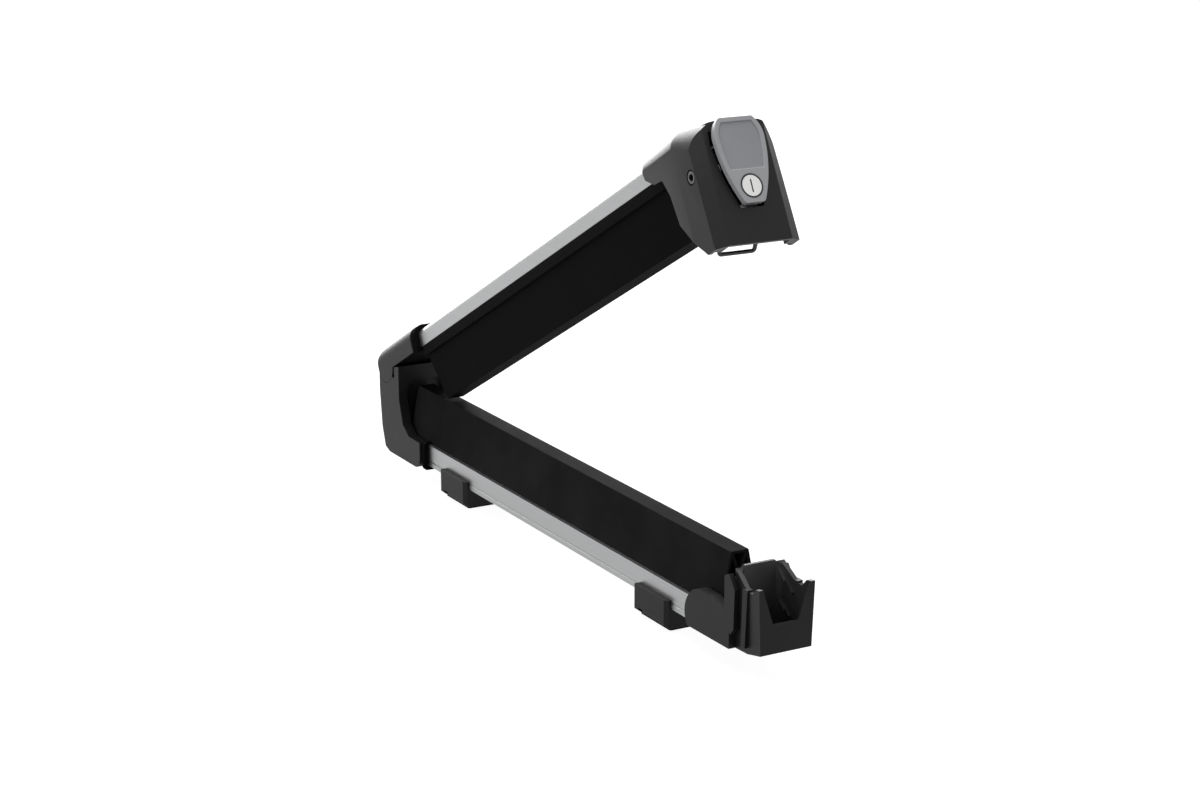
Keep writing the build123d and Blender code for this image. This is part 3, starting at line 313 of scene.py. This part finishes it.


# Hinge mouldings: the post and the knuckle, moulded in black glass-filled nylon. The tool's
# spark-eroded grain is fine and even, and the proud edges are polished a little by handling.
# Those rounded edges are also painted paler, as a painted highlight.
def moulded_nylon(name, dark, light, spark_scale, polished=0.36, dull=0.50, shine=0.26):
    finish, tree, shader, place = new_finish(name)
    shader.inputs["Specular IOR Level"].default_value = shine
    spark = grain(tree, place, scale=spark_scale, detail=4.0)
    cloud = grain(tree, place, scale=30.0, detail=2.0)
    colour_by(tree, shader, cloud, dark, light, dark_until=0.3, light_from=0.75)
    roughness_by(tree, shader, spark, polished, dull)
    bump_by(tree, shader, spark, strength=0.16, depth=0.0002)
    return finish


def finish_node(node, finish):
    """Gives its finish to a CAD node that stays as it is."""
    nodes[node].data.materials.clear()
    nodes[node].data.materials.append(finish)


fine_spark = 2600.0
black_nylon = moulded_nylon(
    "black_nylon", (0.006, 0.006, 0.0066), (0.011, 0.011, 0.0118), fine_spark
)
# Rounded edges: glossier from handling, and painted paler as a painted highlight.
handled_highlight_nylon = moulded_nylon(
    "handled_highlight_nylon", (0.012, 0.012, 0.013), (0.018, 0.018, 0.019), fine_spark,
    polished=0.32, dull=0.42,
)
for node, name, body in (
    ("hinge_post", "hinge_post_moulding", "base"),
    ("hinge_knuckle", "hinge_knuckle_moulding", "arm"),
):
    eased_copy(node, name, body, [black_nylon, handled_highlight_nylon], radius=0.0009)
finish_node("post_cap", black_nylon)

# End cap: one nylon moulding, sleeve and catch cup. Its walls are thin, with crisp edges. Inside
# the cup, where the mould's core was smoother, the walls are glossier. There the walls that face
# in are painted paler, as painted light, and the rounded rib edges paler still, as a painted
# highlight.
core_spark = 1500.0
cup_painted_light_nylon = moulded_nylon(
    "cup_painted_light_nylon", (0.026, 0.026, 0.027), (0.052, 0.052, 0.054), core_spark,
    polished=0.30, dull=0.44, shine=0.5,
)
rib_painted_highlight_nylon = moulded_nylon(
    "rib_painted_highlight_nylon", (0.10, 0.10, 0.105), (0.16, 0.16, 0.165), core_spark,
    polished=0.26, dull=0.38, shine=0.5,
)
cup_finishes = [black_nylon, handled_highlight_nylon, cup_painted_light_nylon, rib_painted_highlight_nylon]
cup = eased_copy(
    "end_cap", "end_cap_moulding", "base", cup_finishes, radius=0.0004
)
cup_middle = Vector((0.2835, 0.0))
cup_half_length, cup_half_width = 0.0165, 0.0195
cup_sole, cup_brim, facing_in = 0.0285, 0.07, -0.002
for face in cup.data.polygons:
    out = Vector(face.center[:2]) - cup_middle
    over_sole = face.center.z > cup_sole
    inside = abs(out.x) < cup_half_length and abs(out.y) < cup_half_width and over_sole
    on_edge = face.material_index == cup_finishes.index(handled_highlight_nylon)
    # Rounded edges inside the cup, below the brim, get a painted highlight.
    if inside and on_edge and face.center.z < cup_brim:
        face.material_index = cup_finishes.index(rib_painted_highlight_nylon)
    # Inner walls that face the cup's middle get painted light.
    elif inside and out.dot(Vector(face.normal[:2])) < facing_in:
        face.material_index = cup_finishes.index(cup_painted_light_nylon)

# Feet: two blocks moulded in the same nylon. They hug the lower bar and slide along it on nuts
# in its slot, and each has a rubber pad under it that rests on the roof bar.
for node, name, body in (
    ("rear_foot", "rear_foot_block", "rear_foot_body"),
    ("front_foot", "front_foot_block", "front_foot_body"),
):
    eased_copy(node, name, body, [black_nylon, handled_highlight_nylon], radius=0.0007)
for node, name, body in (
    ("rear_pad", "rear_foot_pad", "rear_foot_body"),
    ("front_pad", "front_foot_pad", "front_foot_body"),
):
    pad_skin = soft_rubber(name + "_skin", pitch=0.0, painted_lightness=1.0)
    eased_copy(node, name, body, [pad_skin], radius=0.0004)

# Lock housing: a hood moulded in the same nylon, a little glossier, with soft outer edges. It is
# pushed over the end of the upper bar. Round the shoulder screw the faces of its bore are
# painted near black, as painted shade.
hood_nylon = moulded_nylon(
    "hood_nylon", (0.006, 0.006, 0.0066), (0.010, 0.010, 0.0108), fine_spark,
    polished=0.32, dull=0.44, shine=0.34,
)
bore_painted_shade = moulded_nylon(
    "bore_painted_shade", (0.0015, 0.0015, 0.0016), (0.002, 0.002, 0.0021), fine_spark,
    polished=0.7, dull=0.8, shine=0.05,
)
hood_finishes = [hood_nylon, handled_highlight_nylon, bore_painted_shade]
hood = eased_copy(
    "lock_housing", "lock_hood", "arm", hood_finishes, radius=0.0009,
    sharper_than=38.0,
)
screw_low, screw_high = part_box("latch_pin")
screw_x, screw_z = (screw_low[0] + screw_high[0]) / 2, (screw_low[2] + screw_high[2]) / 2
bore_reach = 0.0066
# Faces round the screw are painted near black: painted shade in the bore.
for face in hood.data.polygons:
    corners = [hood.data.vertices[corner].co for corner in face.vertices]
    furthest = max(math.hypot(corner.x - screw_x, corner.z - screw_z) for corner in corners)
    if furthest < bore_reach:
        face.material_index = hood_finishes.index(bore_painted_shade)

# Push button: a moulded cap of silver-grey plastic, fixed on the front of the catch lever. Its
# sunk panel has a coarser grain and reads darker than the rim around it.
button_spark, panel_spark = 1800.0, 1400.0
button_grey = moulded_nylon(
    "button_grey", (0.44, 0.445, 0.46), (0.49, 0.495, 0.51), button_spark,
    polished=0.34, dull=0.46,
)
# The cap's rounded edges are painted a little paler: a painted highlight.
button_rim_highlight = moulded_nylon(
    "button_rim_highlight", (0.46, 0.465, 0.48), (0.51, 0.515, 0.53), button_spark,
    polished=0.30, dull=0.40,
)
button_panel = moulded_nylon(
    "button_panel", (0.35, 0.36, 0.38), (0.40, 0.41, 0.43), panel_spark,
    polished=0.42, dull=0.56,
)
greys = [button_grey, button_rim_highlight, button_panel]
button = eased_copy(
    "push_button", "push_button_cap", "latch", greys, radius=0.0005
)
slope = math.radians(opening_angle)
forwards = Vector((math.cos(slope), 0.0, math.sin(slope)))
button_front = max(vertex.co.dot(forwards) for vertex in button.data.vertices)
panel_least_depth, panel_most_depth, facing_forwards = 0.0006, 0.001, 0.98
for face in button.data.polygons:
    depth = button_front - face.center.dot(forwards)
    sunk = panel_least_depth < depth < panel_most_depth
    if sunk and face.normal.dot(forwards) > facing_forwards:
        face.material_index = greys.index(button_panel)


# Lock and fasteners: nickel-plated die casting for the lock, zinc-plated steel for the rest,
# both with fine polishing marks. The screws hold the mouldings, and the nuts hold the feet.
def plated_steel(name, colour, polished, dull):
    finish, tree, shader, place = new_finish(name)
    shader.inputs["Metallic"].default_value = 1.0
    marks = grain(tree, place, scale=700.0, detail=5.0)
    marks_shade = 0.86
    colour_by(tree, shader, marks, [marks_shade * part for part in colour], colour)
    roughness_by(tree, shader, marks, polished, dull)
    return finish


nickel = [
    plated_steel("lock_nickel", (0.95, 0.95, 0.94), polished=0.30, dull=0.42),
    plated_steel("lock_nickel_edge", (0.8, 0.8, 0.79), polished=0.25, dull=0.35),
]
eased_copy("lock_plug", "lock_plug_face", "lock", nickel, radius=0.00025)
zinc = (0.60, 0.61, 0.63)
for metal_part in (
    "lock_cam", "post_screws", "cap_screws", "knuckle_screws", "hinge_pin", "hinge_slider",
    "latch_spring", "rear_nut", "front_nut",
):
    finish_node(metal_part, plated_steel(metal_part + "_zinc", zinc, polished=0.30, dull=0.42))

# Latch parts: the wire bail, the shoulder screw and the lock's barrel are blackened steel. The
# lever behind the button is black nylon. It turns on the screw, which goes through both walls
# of the hood.
screw_steel = plated_steel(
    "shoulder_screw_blackened", (0.20, 0.20, 0.205), polished=0.42, dull=0.55
)
# The sides of the screw head are painted near black: painted shade of the gap round the head.
screw_side_painted_shade = plated_steel(
    "shoulder_screw_painted_shade", (0.012, 0.012, 0.013), polished=0.50, dull=0.65
)
screw_finishes = [screw_steel, screw_side_painted_shade]
shoulder_screw = eased_copy(
    "latch_pin", "shoulder_screw", "arm", screw_finishes, radius=0.0008
)
head_front = min(vertex.co.y for vertex in shoulder_screw.data.vertices)
head_least_depth, head_most_depth, facing_out = 0.0002, 0.004, -0.98
# Faces on the side of the head get the near-black painted shade.
for face in shoulder_screw.data.polygons:
    depth = face.center.y - head_front
    if head_least_depth < depth < head_most_depth and face.normal.y > facing_out:
        face.material_index = screw_finishes.index(screw_side_painted_shade)
blackened = (0.07, 0.07, 0.075)
for metal_part in ("lock_barrel", "catch_bail"):
    dark_steel = plated_steel(metal_part + "_blackened", blackened, polished=0.30, dull=0.45)
    finish_node(metal_part, dark_steel)
finish_node("catch_lever", black_nylon)
